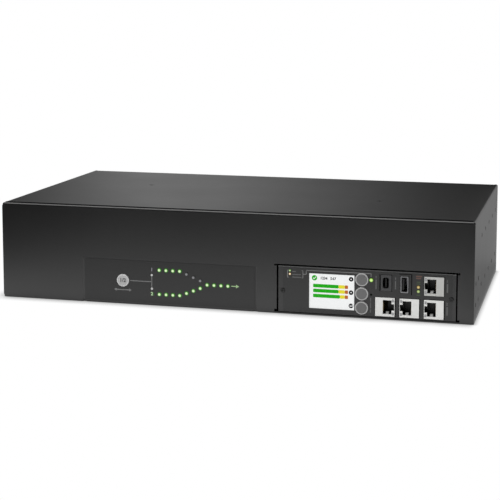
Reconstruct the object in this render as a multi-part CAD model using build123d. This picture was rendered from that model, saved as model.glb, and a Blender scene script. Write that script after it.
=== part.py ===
"""Rack automatic transfer switch, two units high.

A folded steel case holds a status panel and a removable display module at the
front, a relay board inside, and outlets, breakers and cord glands at the rear.
Origin: middle of the bottom face. +X to the right seen from the front, +Y to
the rear, +Z up. Millimetres.
"""

from build123d import *
import os
from math import radians, sin

# Case
case_width = 432.0
case_depth = 235.0
case_height = 88.0
sheet = 1.2
bend = 1.5  # outer radius of a fold
fit_gap = 0.2  # between sheets that slide together

# Front panel's fold over the top, and the tongue that the cover hooks over
top_return = 4.6
top_seam = 1.3
tongue_length = 14.0
base_flange = 9.0
front_flange_depth = 7.0

# Cover
rear_lip = 10.0
# the two flush screws in the top: which side, how far in from it, how far behind the front
top_screw_places = ((-1, 96.0, 144.0), (1, 97.5, 97.0))
top_screw_head = 3.4
top_screw_shank = 1.5
top_screw_length = 10.0
post_radius = 4.0
post_clear = 1.5
lip_screw_count = 3
lip_screw_inset = 26.0  # from each side

# Bracket holes in both sides
side_hole = 2.05
side_first = 65.0
side_pitch = 36.3
side_columns = 5
side_rows = (22.0, 66.0)
ear_columns = (14.5, 38.0)
ear_rows = (14.0, 32.5)
side_nut_radius = 3.4
side_nut_height = 2.6

# Status panel: a shallow pressed recess with a film in it
status_left_of_bay = 182.0  # from the recess's left edge to the bay's left edge
status_width = 164.0
status_height = 40.5
recess_depth = 0.9
recess_slope = 1.6
recess_slot = 4.0
film = 0.25
film_edge = 0.4

# Marks on the status panel, across from the recess's left edge and down from its top
lamp_first = 73.5
lamp_pitch = 6.4
lamp_line_drop = 8.0
lamp_middle_drop = 19.05
lamp_merge_drops = (2.35, 4.95, 7.6)
lamp_straight = 4
lamp_out = 4
lamp_radius = 1.35
lamp_proud = 0.2
lamp_depth = 6.0
source_light = (67.0, 30.1)
source_light_size = (2.6, 2.8)
button_place = (39.0, 19.0)
button_radius = 5.7
button_proud = 0.5
button_chamfer = 0.45
button_clear = 0.3
button_travel = 0.8
button_flange = 1.2
button_flange_thick = 1.0
cap_chamfer_share = 0.45  # of a cap's chamfer, how deep it is
stem_radius = 1.6
stem_engaged = 1.0

# Boards and the lamps on them
board = 1.6
status_board_back = 9.5  # from the case front to the board's face
status_board_margin = 5.0
led_size = 2.0
led_height = 1.5
switch_size = 6.4
switch_floor = 0.6

# Module bay, measured from the case's right side and floor
bay_margin = 13.9
bay_width = 157.9
bay_height = 42.8
bay_depth = 112.0
bay_sheet = 1.0
bay_tab = 9.0
bay_tab_height = 13.0
# side of the opening, corner, how far the relief reaches out, how tall it is
bay_reliefs = ((-1, "top", 2.2, 1.5), (-1, "floor", 2.2, 2.5), (1, "top", 1.9, 1.8), (1, "floor", 1.9, 2.0))

# Module front plate
plate_gap_left = 1.6
plate_gap_right = 1.3
plate_gap_top = 1.5
plate_gap_bottom = 0.3
plate_sheet = 1.0
plate_bend = 0.9
plate_fold = 7.0
plate_label_margin = 4.2
plate_label_edge = 0.6

# What the module plate carries, across from its left edge and down from its top
module_screw_inset = 3.9
module_screw_drop = 21.8
module_screw_radius = 2.0
module_screw_head = 1.2
window_place = (27.65, 5.5)
window_size = (39.6, 30.5)
window_thickness = 0.9
display_margin = 0.6
display_thickness = 3.5
key_across = 74.0
key_first = 8.5
key_pitch = 12.45
key_radius = 5.7
key_proud = 0.7
key_chamfer = 0.5
key_clear = 0.25
key_travel = 0.6
key_flange = 0.9
key_flange_tall = 6.0
key_switch_reach = 6.0
# across, down and radius of each small lamp
module_lamps = ((10.4, 3.7, 0.9), (10.4, 6.7, 0.9), (82.3, 8.4, 1.5), (123.0, 12.4, 1.2), (123.0, 16.1, 1.2))
module_lamp_proud = 0.15
plate_clear = 0.2  # round the window and the lamps
reset_place = (82.2, 21.3)
reset_radius = 0.9
reset_switch_size = 4.5
reset_switch_height = 8.0
reset_plunger = (1.0, 1.0)  # radius and length

# Ports, centres across and down on the module plate
usb_b_place = (94.85, 10.3)
usb_b_size = (10.0, 14.0)
usb_b_mouth = (5.4, 9.6)
usb_b_mouth_corner = 2.0
usb_a_place = (111.0, 10.9)
usb_a_size = (6.8, 14.3)
usb_a_mouth = (5.1, 12.5)
usb_a_mouth_corner = 0.5
usb_shell_corner = 0.7
usb_depth = 14.0
usb_proud = 0.4
port_clear = (0.45, 0.25)  # each side of a port, and above and below it
# thickness of each port's tongue, how much shorter than the mouth it is, and how far it is set back
usb_a_tongue = 1.6
usb_b_tongue = 1.0
tongue_short = 2.4
tongue_back = 1.5

jack_first = 94.3
jack_pitch = 21.0
jack_upper = 11.2
jack_lower = 31.35
jack_width = 16.8
jack_tall = 16.4
jack_proud = 0.5
jack_mouth_width = 7.6
jack_mouth_tall = 12.2
jack_mouth_shift = 2.0
jack_latch_width = 2.25
jack_latch_tall = 5.6
jack_mouth_depth = 13.0
jack_lamp_size = (1.8, 2.6)
jack_lamp_inset = (0.5, 1.2)  # from the jack's side and from its top or bottom
jack_lamp_depth = 2.0
jack_lamp_sunk = 0.2
contact_count = 8
contact_pitch = 1.02
contact_size = 0.45
contact_start = 2.5  # behind the jack's face
contact_rise = 2.6  # off the wall at the jack's back
contact_bend = 0.9
# column, row, and the side of the mouth that its latch is on
jacks = ((2, "upper", -1), (0, "lower", 1), (1, "lower", -1), (2, "lower", -1))

# Boards in the module
module_board_back = 21.5  # from the case front to the front board's face
module_tray_sheet = 1.0
module_tray_height = 30.0
module_tray_insets = (10.0, 7.0)  # from the plate's left and right ends
module_tray_start = 3.0
module_main_lift = 6.0
connector_width = 60.0
connector_height = 9.0
connector_depth = 10.0

# Rear panel and what it carries
rear_flange = 11.0
# gaps along it from left to right: before each column of strips, the large outlets, each breaker and
# each cord gland, and after the last gland
rear_gaps = (8.0, 4.0, 6.0, 4.0, 2.0, 8.0, 5.5, 11.5)
rear_least_spare = 30.0  # how much of the width stays free when the outlets are counted
strip_columns_count = 2
strip_row_shares = (0.2955, 0.6818)  # of the case's height
outlet_pitch = 29.0
strip_height = 27.0
strip_flange = 2.6
strip_wall = 1.6
outlet_hole = (24.6, 17.2)
outlet_island = (19.0, 11.6)
outlet_corner = 4.0
outlet_depth = 18.0
outlet_tail = 9.0  # from the bottom of an outlet's well to the board behind
island_back = 0.5
island_corner_share = 0.8
flange_corner = 1.5
flange_chamfer = 0.6
pin_slot = (2.2, 4.8)
pin_spread = 7.0
pin_offset = 1.8
large_corner = 1.0
large_size = (35.0, 29.0)
large_hole = (28.0, 22.0)
large_island = (21.6, 15.6)
large_slot = (2.4, 7.0)
breaker_count = 2
breaker_size = (18.0, 52.0)
breaker_depth = 42.0
breaker_bezel = 3.0
breaker_bezel_edge = (2.0, 4.0)
breaker_chamfer = 0.8
rocker_width = 9.0
rocker_radius = 8.0
rocker_clear = 0.35
rocker_tilt = 9.0
gland_count = 2
gland_below_middle = 1.0
gland_hex = 19.0
gland_flange = 6.0
gland_dome_radius = 17.0
gland_dome_length = 17.0
gland_dome_edge = 4.0
gland_bore = 8.5
gland_thread = 14.0
gland_thread_length = 14.0
gland_nut = 17.5
gland_nut_height = 5.0
stud_below_top = 14.0
stud_head_share = 1.8
stud_head = 2.0
stud_radius = 2.0
stud_length = 12.0
stud_nut = 3.6
stud_nut_height = 3.2

# Boards behind the rear panel and in the middle
outlet_board_margin = 4.0
main_board_size = (172.0, 108.0)
main_board_inset = 10.0  # from the left side
main_board_front = 80.0  # behind the case front
main_board_lift = 9.0
standoff_radius = 3.0
standoff_inset = 6.0
board_screw_radius = 2.8
board_screw_head = 1.6
relay_size = (30.0, 16.0, 25.0)
relay_columns = 4
relay_rows = 2
relay_pitch = (36.0, 22.0)
relay_first = (22.0, 18.0)
capacitor_radius = 11.0
capacitor_height = 34.0
capacitor_places = ((22.0, 20.0), (48.0, 20.0), (74.0, 20.0))  # from the board's left and back edges
transformer_size = (28.0, 24.0, 22.0)
transformer_bobbin = 19.0
transformer_places = ((114.0, 22.0), (148.0, 22.0))  # from the board's left and back edges
sensor_outer = 12.0
sensor_inner = 6.5
sensor_height = 10.0
sensor_places = ((28.0, 61.0), (62.0, 61.0))
terminal_size = (13.5, 26.0, 24.0)
terminal_poles = 3
terminal_gap = 60.0  # from the rear panel to the terminal blocks
terminal_screw = 3.5

# Places worked out from the sizes above
half_width = case_width / 2
front = -case_depth / 2
back = case_depth / 2
inner_half = half_width - sheet - fit_gap
bay_right = half_width - bay_margin
bay_left = bay_right - bay_width
bay_top = sheet + bay_height
plate_left = bay_left + plate_gap_left
plate_right = bay_right - plate_gap_right
plate_top = bay_top - plate_gap_top
plate_bottom = sheet + plate_gap_bottom
status_left = bay_left - status_left_of_bay
status_right = status_left + status_width
recess_floor = front + recess_depth
panel_back = recess_floor + sheet
status_board_face = front + status_board_back
module_board_face = front + module_board_back
panel_outer = back - sheet
panel_inner = panel_outer - sheet
outlet_board_face = panel_outer - outlet_depth - outlet_tail
strip_rows = [case_height * share for share in strip_row_shares]
breaker_mid = case_height / 2
gland_height = case_height / 2 - gland_below_middle
lip_screw_pitch = 2 * (half_width - lip_screw_inset) / (lip_screw_count - 1)
top_screws = [(side * (half_width - inset), behind) for side, inset, behind in top_screw_places]


def rear_row():
    """How many outlets a strip has, and the middle of each piece along the rear panel."""
    widths = [large_size[0]]
    widths += [breaker_size[0] + breaker_bezel_edge[0]] * breaker_count
    widths += [2 * gland_hex] * gland_count
    room = case_width - sum(widths) - rear_least_spare
    outlets = int(room / (strip_columns_count * outlet_pitch))
    widths = [outlets * outlet_pitch] * strip_columns_count + widths
    share = (case_width - sum(widths)) / sum(rear_gaps)
    x = -half_width
    middles = []
    for gap, wide in zip(rear_gaps, widths):
        middles.append(x + gap * share + wide / 2)
        x += gap * share + wide
    return outlets, middles


outlets_per_strip, rear_middles = rear_row()
strip_columns = rear_middles[:strip_columns_count]
large_across = rear_middles[strip_columns_count]
breaker_places = rear_middles[strip_columns_count + 1 : -gland_count]
gland_places = rear_middles[-gland_count:]
stud_place = (sum(gland_places) / gland_count, case_height - stud_below_top)


def block(x0, x1, y0, y1, z0, z1):
    """A box between two opposite corners."""
    return Pos((x0 + x1) / 2, (y0 + y1) / 2, (z0 + z1) / 2) * Box(x1 - x0, y1 - y0, z1 - z0)


def slab(outline, y0, y1):
    """An outline drawn on the front view (X across, Z up), thick from y0 to y1."""
    return Pos(0, y1, 0) * extrude(Plane.XZ * outline, amount=y1 - y0)


def along_x(outline, x0, x1):
    """An outline drawn on the side view (Y across, Z up), long from x0 to x1."""
    return Pos(x0, 0, 0) * extrude(Plane.YZ * outline, amount=x1 - x0)


def round_y(radius, x, z, y0, y1):
    """A round bar from y0 to y1."""
    return slab(Pos(x, z) * Circle(radius), y0, y1)


def round_z(radius, x, y, z0, z1):
    """A round bar from z0 to z1."""
    return Pos(x, y, (z0 + z1) / 2) * Cylinder(radius, z1 - z0)


def folded(points, thickness, radius):
    """The section of a folded sheet whose outer face follows the points, clockwise."""
    path = FilletPolyline(*points, radius=radius)
    return make_face(offset(path, amount=thickness, side=Side.RIGHT))


def group(solids):
    """Separate solids that share one node."""
    return Compound(children=list(solids))


def cut_all(body, tools):
    """The body less every tool."""
    for tool in tools:
        body = body - tool
    return body


def on_plate(place):
    """X and Z of a place given across and down on the module plate."""
    return plate_left + place[0], plate_top - place[1]


def on_status(place):
    """X and Z of a place given across and down on the status panel."""
    return status_left + place[0], status_height - place[1]


def lamp_places():
    """Two rows of lamps that merge into the output row."""
    places = []
    for side in (-1, 1):
        line_drop = lamp_middle_drop + side * (lamp_middle_drop - lamp_line_drop)
        for column in range(lamp_straight):
            places.append((lamp_first + lamp_pitch * column, line_drop))
        for step, merge in enumerate(lamp_merge_drops):
            across = lamp_first + lamp_pitch * (lamp_straight + step)
            places.append((across, line_drop - side * merge))
    merged = lamp_straight + len(lamp_merge_drops)
    for column in range(lamp_out):
        places.append((lamp_first + lamp_pitch * (merged + column), lamp_middle_drop))
    return [on_status(place) for place in places]


def source_outline(clear):
    """Outline of the lit source mark, or of its hole."""
    return Rectangle(source_light_size[0] + clear, source_light_size[1] + clear)


def jack_centres():
    """X, Z and latch side of each network jack."""
    rows = {"upper": jack_upper, "lower": jack_lower}
    centres = []
    for column, row, latch in jacks:
        x, z = on_plate((jack_first + jack_pitch * column, rows[row]))
        centres.append((x, z, latch))
    return centres


def key_centres():
    """X and Z of the three menu keys."""
    return [on_plate((key_across, key_first + key_pitch * index)) for index in range(3)]


def module_screw_centres():
    """X and Z of the two captive screws."""
    z = plate_top - module_screw_drop
    return [(plate_left + module_screw_inset, z), (plate_right - module_screw_inset, z)]


def lip_screw_centres():
    """X of the screws along the cover's rear lip."""
    middle = (lip_screw_count - 1) / 2
    return [(index - middle) * lip_screw_pitch for index in range(lip_screw_count)]


def side_hole_places():
    """Y and Z of each bracket hole."""
    columns = [side_first + side_pitch * index for index in range(side_columns)]
    places = [(front + column, row) for column in columns for row in side_rows]
    return places + [(front + column, row) for column in ear_columns for row in ear_rows]


def outlet_columns(middle):
    """X of each outlet in a strip."""
    centre = (outlets_per_strip - 1) / 2
    return [middle + (index - centre) * outlet_pitch for index in range(outlets_per_strip)]


# Case


def base_tray():
    """Bottom and front panel folded from one sheet, with the status recess and the module opening."""
    fold_end = front + front_flange_depth + sheet
    strip = folded(
        [(fold_end, 0), (front, 0), (front, case_height), (front + top_return, case_height)], sheet, bend
    )
    tray = along_x(strip, -inner_half, inner_half)
    lower = case_height - sheet
    y1 = front + top_return
    joggle = make_face(
        Polyline(
            (y1 - sheet, lower),
            (y1, case_height),
            (y1 + sheet, lower),
            (y1 + tongue_length, lower),
            (y1 + tongue_length, lower - sheet),
            (y1, lower - sheet),
            close=True,
        )
    )
    tray += along_x(joggle, -inner_half, inner_half)
    panel = Pos(0, case_height / 2) * RectangleRounded(case_width, case_height - 2 * bend, bend)
    tray += slab(panel, front, front + sheet)
    left, right = -inner_half, inner_half
    floor = folded([(right, base_flange), (right, 0), (left, 0), (left, base_flange)], sheet, bend)
    tray += slab(floor, fold_end, back - rear_flange - 2 * sheet)
    tray += block(-inner_half, inner_half, back - rear_flange - 2 * sheet, back, 0, sheet)
    for side in (-1, 1):
        x0, x1 = sorted((side * inner_half, side * (inner_half - sheet)))
        z0, z1 = base_flange + sheet, case_height - base_flange
        tray += block(x0, x1, front + sheet, front + front_flange_depth, z0, z1)

    middle = (status_left + status_right) / 2
    flat = status_width - 2 * recess_slope
    pressed = Pos(middle, status_height / 2) * Rectangle(flat, status_height)
    tray += slab(pressed, recess_floor, panel_back)
    wall = [
        (status_left, front),
        (status_left + recess_slope, recess_floor),
        (status_right - recess_slope, recess_floor),
        (status_right, front),
    ]
    behind = [
        (status_right, front + sheet),
        (status_right - recess_slope, panel_back),
        (status_left + recess_slope, panel_back),
        (status_left, front + sheet),
    ]
    press = make_face(Polyline(*wall, *behind, close=True))
    hollow = make_face(Polyline(*wall, close=True))
    top = status_height
    tray += extrude(press, amount=top)
    tray -= extrude(hollow, amount=top)
    for x in (status_left + recess_slope, status_right - recess_slope):
        tray -= block(x - recess_slot / 2, x + recess_slot / 2, front - 1, front + 2 * sheet, -1, sheet)

    tray -= block(bay_left, bay_right, front - 1, front + sheet + 1, sheet, bay_top)
    for side, corner, out, tall in bay_reliefs:
        x = bay_left if side < 0 else bay_right
        x0, x1 = sorted((x - side, x + side * out))
        z0, z1 = (bay_top - tall, bay_top) if corner == "top" else (sheet, sheet + tall)
        tray -= block(x0, x1, front - 1, front + sheet + 1, z0, z1)
    for x, z in lamp_places():
        tray -= round_y(lamp_radius + fit_gap, x, z, front - 1, panel_back + 1)
    x, z = on_status(source_light)
    tray -= slab(Pos(x, z) * source_outline(fit_gap), front, panel_back + 1)
    x, z = on_status(button_place)
    tray -= round_y(button_radius + button_clear, x, z, front - 1, panel_back + 1)
    return tray


def side_bore(side, y, z, depth):
    """A cutter for one bracket hole."""
    return Pos(side * (half_width - depth / 2 + 1), y, z) * Rot(0, 90, 0) * Cylinder(side_hole, depth + 2)


def top_cover():
    """Top, both sides and a rear lip folded from one sheet."""
    left, right = -half_width, half_width
    section = folded([(left, 0), (left, case_height), (right, case_height), (right, 0)], sheet, bend)
    cover = slab(section, front + sheet + fit_gap, back)
    top_front = front + top_return + top_seam
    cover -= block(-inner_half, inner_half, front, top_front, case_height - 3 * sheet, case_height + 1)
    lip_start = back - 3 * sheet
    lip = folded([(lip_start, case_height), (back, case_height), (back, case_height - rear_lip)], sheet, bend)
    corner = half_width - 2 * bend
    cover -= block(-corner, corner, lip_start, back + 1, case_height - 2 * sheet, case_height + 1)
    cover += along_x(lip, -corner, corner)
    for side in (-1, 1):
        for y, z in side_hole_places():
            cover -= side_bore(side, y, z, 3 * sheet)
    for x, behind in top_screws:
        cover -= round_z(top_screw_head, x, front + behind, case_height - sheet - 1, case_height + 1)
    for x in lip_screw_centres():
        cover -= round_y(top_screw_shank + fit_gap, x, case_height - rear_lip / 2, back - 2 * sheet, back + 1)
    return cover


def rear_panel():
    """A shallow folded pan with the cut-outs for everything at the rear."""
    height = case_height - 2 * sheet
    outer = block(-inner_half, inner_half, panel_outer - rear_flange, panel_outer, sheet, case_height - sheet)
    outer = fillet(outer.faces().sort_by(Axis.Y)[-1].edges(), bend)
    wall = inner_half - sheet
    inner = block(
        -wall, wall, panel_outer - rear_flange - 1, panel_inner, 2 * sheet, case_height - 2 * sheet
    )
    inner = fillet(inner.faces().sort_by(Axis.Y)[-1].edges(), bend - sheet)
    pan = outer - inner
    relief = 2 * bend
    for side in (-1, 1):
        for z in (sheet, sheet + height):
            x = side * inner_half
            start = panel_outer - rear_flange - 1
            pan -= block(x - relief, x + relief, start, panel_outer + 1, z - relief, z + relief)
    for middle in strip_columns:
        for z in strip_rows:
            pan -= slab(Pos(middle, z) * Rectangle(*strip_body_size()), panel_inner - 1, panel_outer + 1)
    for z in strip_rows:
        pan -= slab(Pos(large_across, z) * Rectangle(*large_body_size()), panel_inner - 1, panel_outer + 1)
    for x in breaker_places:
        pan -= slab(Pos(x, breaker_mid) * Rectangle(*breaker_size), panel_inner - 1, panel_outer + 1)
    for x in gland_places:
        pan -= round_y(gland_thread + fit_gap, x, gland_height, panel_inner - 1, panel_outer + 1)
    pan -= round_y(stud_radius, stud_place[0], stud_place[1], panel_inner - 1, panel_outer + 1)
    for x in lip_screw_centres():
        pan -= round_y(top_screw_shank, x, case_height - rear_lip / 2, panel_inner - 1, panel_outer + 1)
    return pan


def side_nuts():
    """A clinch nut behind each bracket hole."""
    nuts = []
    for side in (-1, 1):
        for y, z in side_hole_places():
            outer = half_width - sheet
            nut = Rot(0, 90, 0) * Cylinder(side_nut_radius, side_nut_height)
            nut -= Rot(0, 90, 0) * Cylinder(side_hole, side_nut_height + 1)
            nuts.append(Pos(side * (outer - side_nut_height / 2), y, z) * nut)
    return group(nuts)


def cover_posts():
    """Hexagonal posts that carry the middle of the cover."""
    posts = []
    for x, behind in top_screws:
        low = bay_top + bay_sheet if x > bay_left and behind < bay_depth else sheet
        high = case_height - sheet
        post = Pos(x, front + behind, low) * extrude(RegularPolygon(post_radius, 6), amount=high - low)
        post -= round_z(top_screw_shank, x, front + behind, high - top_screw_length, high + 1)
        posts.append(post)
    return group(posts)


def pan_screw(radius, head, shank, length):
    """A flat-headed screw, head up, with a cross cut in its head."""
    screw = Pos(0, 0, -head / 2) * Cylinder(radius, head)
    screw += Pos(0, 0, -head - (length - head) / 2) * Cylinder(shank, length - head)
    for turn in (0, 90):
        screw -= Rot(0, 0, turn) * Box(radius * 1.1, radius * 0.28, head)
    return screw


def case_screws():
    """The two flush screws in the top and the screws along the rear lip."""
    screws = []
    for x, behind in top_screws:
        screw = pan_screw(top_screw_head - fit_gap / 2, sheet, top_screw_shank, top_screw_length)
        screws.append(Pos(x, front + behind, case_height) * screw)
    for x in lip_screw_centres():
        screw = pan_screw(top_screw_head, board_screw_head, top_screw_shank, top_screw_length)
        screw = Rot(-90, 0, 0) * screw
        screws.append(Pos(x, back + board_screw_head, case_height - rear_lip / 2) * screw)
    return group(screws)


# Status panel


def status_label():
    """The film in the recess, with a hole for each lamp and for the button."""
    left = status_left + recess_slope + film_edge
    right = status_right - recess_slope - film_edge
    low = bend + film_edge
    high = status_height - film_edge
    outline = Pos((left + right) / 2, (low + high) / 2) * RectangleRounded(right - left, high - low, 1.0)
    for x, z in lamp_places():
        outline -= Pos(x, z) * Circle(lamp_radius + fit_gap / 2)
    x, z = on_status(source_light)
    outline -= Pos(x, z) * source_outline(fit_gap)
    x, z = on_status(button_place)
    outline -= Pos(x, z) * Circle(button_radius + button_clear)
    return slab(outline, recess_floor - film, recess_floor)


def light_pipe(radius, face, length):
    """A clear pin along +Y with a domed front end."""
    pipe = round_y(radius, 0, 0, face, face + length)
    return fillet(pipe.edges().sort_by(Axis.Y)[0], radius * 0.35)


def status_light_pipes():
    """Domed clear pins, one for each status lamp, and the lit source mark."""
    face = recess_floor - film - lamp_proud
    pipes = [Pos(x, 0, z) * light_pipe(lamp_radius, face, lamp_depth) for x, z in lamp_places()]
    x, z = on_status(source_light)
    pipes.append(slab(Pos(x, z) * source_outline(0), recess_floor - film, face + lamp_depth))
    return group(pipes)


def status_board():
    """The circuit board behind the status panel."""
    left = status_left + status_board_margin
    right = status_right - status_board_margin
    low = 2 * status_board_margin
    return block(left, right, status_board_face, status_board_face + board, low, status_height - 2)


def push_button(radius, x, z, face, rim, stem_end, proud_chamfer):
    """A cap with a chamfered face, a flange that keeps it in, and a stem that works its switch."""
    cap = round_y(radius, x, z, face, rim)
    cap = chamfer(cap.edges().sort_by(Axis.Y)[0], proud_chamfer * cap_chamfer_share, proud_chamfer)
    cap += round_y(radius + button_flange, x, z, rim, rim + button_flange_thick)
    cap += round_y(stem_radius, x, z, rim, stem_end)
    return cap


def preference_button():
    """The round button that chooses the preferred source."""
    x, z = on_status(button_place)
    rim = panel_back + button_clear
    stem_end = status_board_face - switch_height() + stem_engaged
    return push_button(button_radius, x, z, front - button_proud, rim, stem_end, button_chamfer)


def switch_height():
    """How far the switches stand off the status board."""
    return stem_engaged + button_travel + switch_floor + 0.4


def push_switch(x, z, face, height):
    """A square switch with the round well that a stem works in."""
    body = slab(Pos(x, z) * RectangleRounded(switch_size, switch_size, 0.6), face - height, face)
    return body - round_y(stem_radius + button_clear, x, z, face - height - 1, face - switch_floor)


def preference_switch():
    """The switch behind the preference button."""
    x, z = on_status(button_place)
    return push_switch(x, z, status_board_face, switch_height())


# Module


def module_bay():
    """The folded channel that guides the module, with two tabs for its screws."""
    end = front + bay_depth
    begin = front + sheet + fit_gap
    outer = block(bay_left - bay_sheet, bay_right + bay_sheet, begin, end, sheet, bay_top + bay_sheet)
    inner = block(bay_left, bay_right, begin - 1, end - bay_sheet, sheet - 1, bay_top)
    bay = outer - inner
    z = module_screw_centres()[0][1]
    for x0, x1 in ((bay_left, bay_left + bay_tab), (bay_right - bay_tab, bay_right)):
        bay += block(x0, x1, begin, begin + bay_sheet, z - bay_tab_height / 2, z + bay_tab_height / 2)
    for x, z in module_screw_centres():
        bay -= round_y(module_screw_radius * 0.7, x, z, begin - 1, begin + bay_sheet + 1)
    middle = (bay_left + bay_right) / 2
    reach = connector_width / 2 + 1
    low = sheet + module_main_lift - 1
    high = low + connector_height + 4
    return bay - block(middle - reach, middle + reach, end - 3, end + 1, low, high)


def plate_openings():
    """Cutters through the module plate and its film, each with its piece's clearance."""
    y0, y1 = front - 2, front + plate_sheet + 1
    x, z = on_plate(window_place)
    wide, tall = window_size
    left, right = x - plate_clear, x + wide + plate_clear
    cutters = [block(left, right, y0, y1, z - tall - plate_clear, z + plate_clear)]
    for x, z in key_centres():
        cutters.append(round_y(key_radius + key_clear, x, z, y0, y1))
    for across, down, radius in module_lamps:
        x, z = on_plate((across, down))
        cutters.append(round_y(radius + plate_clear, x, z, y0, y1))
    x, z = on_plate(reset_place)
    cutters.append(round_y(reset_radius, x, z, y0, y1))
    for x, z, latch in jack_centres():
        hole = Rectangle(jack_width + 2 * port_clear[0], jack_tall + 2 * port_clear[1])
        cutters.append(slab(Pos(x, z) * hole, y0, y1))
    for place, size in ((usb_a_place, usb_a_size), (usb_b_place, usb_b_size)):
        x, z = on_plate(place)
        hole = Rectangle(size[0] + 2 * port_clear[0], size[1] + 2 * port_clear[1])
        cutters.append(slab(Pos(x, z) * hole, y0, y1))
    return cutters


def module_faceplate():
    """The module's folded front plate."""
    end = front + plate_fold
    outer = [(end, plate_bottom), (front, plate_bottom), (front, plate_top), (end, plate_top)]
    section = folded(outer, plate_sheet, plate_bend)
    plate = along_x(section, plate_left, plate_right)
    plate = cut_all(plate, plate_openings())
    for x, z in module_screw_centres():
        plate -= round_y(module_screw_radius * 0.7 + fit_gap, x, z, front - 1, front + plate_sheet + 1)
    left, right = module_tray_span(0)
    left_fold = block(plate_left - 1, left, front + 2 * plate_sheet, end + 1, 0, plate_top + 1)
    right_fold = block(right, plate_right + 1, front + 2 * plate_sheet, end + 1, 0, plate_top + 1)
    return plate - left_fold - right_fold


def module_tray_span(inside):
    """X of the module tray's left and right walls, or of what fits inside them."""
    return plate_left + module_tray_insets[0] + inside, plate_right - module_tray_insets[1] - inside


def module_label():
    """The printed film on the module plate."""
    left = plate_left + plate_label_margin
    right = plate_right - plate_label_margin + 1.0
    low = plate_bottom + plate_bend
    high = plate_top - plate_bend
    outline = RectangleRounded(right - left, high - low, plate_label_edge)
    outline = Pos((left + right) / 2, (low + high) / 2) * outline
    film_sheet = slab(outline, front - film, front)
    film_sheet = cut_all(film_sheet, plate_openings())
    for x, z in module_screw_centres():
        film_sheet -= round_y(module_screw_radius + fit_gap, x, z, front - 1, front + 1)
    return film_sheet


def module_tray():
    """The module's folded tray, open at the top and the rear."""
    left, right = module_tray_span(fit_gap)
    low = plate_bottom + plate_sheet + fit_gap
    high = low + module_tray_height
    section = folded([(right, high), (right, low), (left, low), (left, high)], module_tray_sheet, plate_bend)
    tray = slab(section, front + module_tray_start, front + bay_depth - connector_depth - 4)
    wall = plate_bend + fit_gap
    high = low + module_tray_sheet + 1
    return tray - block(left + wall, right - wall, front, module_board_face, low - 1, high)


def module_front_board():
    """The upright board that carries the ports, keys and display."""
    left, right = module_tray_span(module_tray_sheet + 2 * fit_gap)
    low = plate_bottom + plate_sheet + module_tray_sheet + 2 * fit_gap
    return block(left, right, module_board_face, module_board_face + board, low, plate_top - 2 * plate_sheet)


def module_main_board():
    """The level board behind it."""
    left, right = module_tray_span(module_tray_sheet + 2 * fit_gap)
    low = sheet + module_main_lift
    return block(
        left, right, module_board_face + board, front + bay_depth - connector_depth - 2, low, low + board
    )


def module_screws():
    """Two captive screws that hold the module in its bay."""
    screws = []
    for x, z in module_screw_centres():
        screw = round_y(module_screw_radius, x, z, front - module_screw_head, front)
        screw = fillet(screw.edges().sort_by(Axis.Y)[0], module_screw_head * 0.3)
        screw += round_y(module_screw_radius * 0.7, x, z, front, front + 5)
        for size in ((module_screw_radius * 1.2, 0.5), (0.5, module_screw_radius * 1.2)):
            screw -= slab(Pos(x, z) * Rectangle(*size), front - 2, front - module_screw_head * 0.45)
        screws.append(screw)
    return group(screws)


def display_window():
    """The clear window over the display."""
    x, z = on_plate(window_place)
    wide, tall = window_size
    return block(x, x + wide, front - film, front - film + window_thickness, z - tall, z)


def display_panel():
    """The display behind the window."""
    x, z = on_plate(window_place)
    wide, tall = window_size
    face = front + plate_sheet + fit_gap
    edge = display_margin
    return block(x - edge, x + wide + edge, face, face + display_thickness, z - tall - edge, z + edge)


def display_frame():
    """The plastic frame that carries the display off the board."""
    x, z = on_plate(window_place)
    wide, tall = window_size
    face = front + plate_sheet + fit_gap + display_thickness
    edge = display_margin
    outer = block(x - edge, x + wide + edge, face, module_board_face, z - tall - edge, z + edge)
    return outer - block(x + 1, x + wide - 1, face + 1.5, module_board_face + 1, z - tall + 1, z - 1)


def menu_key(index):
    """One of the three round keys beside the display."""
    x, z = key_centres()[index]
    rim = front + plate_sheet + key_clear
    cap = round_y(key_radius, x, z, front - film - key_proud, rim)
    cap = chamfer(cap.edges().sort_by(Axis.Y)[0], key_chamfer * cap_chamfer_share, key_chamfer)
    reach = key_radius + key_flange
    half = key_flange_tall / 2
    cap += block(x, x + reach, rim, rim + button_flange_thick, z - half, z + half)
    return cap + round_y(stem_radius, x, z, rim, module_board_face - key_switch_height() + stem_engaged)


def key_switch_height():
    """How far the key switches stand off the module's front board."""
    return stem_engaged + key_travel + switch_floor + key_switch_reach


def key_switches():
    """A tall switch behind each key."""
    return group(push_switch(x, z, module_board_face, key_switch_height()) for x, z in key_centres())


def module_light_pipes():
    """The module's small lamps."""
    pipes = []
    face = front - film - module_lamp_proud
    for across, down, radius in module_lamps:
        x, z = on_plate((across, down))
        pipes.append(Pos(x, 0, z) * light_pipe(radius, face, module_board_face - led_height - face))
    return group(pipes)


def indicator_leds():
    """The lamp behind each light pipe, on both boards."""
    leds = []
    for x, z in lamp_places() + [on_status(source_light)]:
        leds.append(
            slab(Pos(x, z) * Rectangle(led_size, led_size), status_board_face - led_height, status_board_face)
        )
    for across, down, radius in module_lamps:
        x, z = on_plate((across, down))
        leds.append(
            slab(Pos(x, z) * Rectangle(led_size, led_size), module_board_face - led_height, module_board_face)
        )
    return group(leds)


def reset_switch():
    """The small switch behind the pinhole."""
    x, z = on_plate(reset_place)
    top = module_board_face - reset_switch_height
    body = slab(Pos(x, z) * Rectangle(reset_switch_size, reset_switch_size), top, module_board_face)
    return body + round_y(reset_plunger[0], x, z, top - reset_plunger[1], top)


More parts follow.
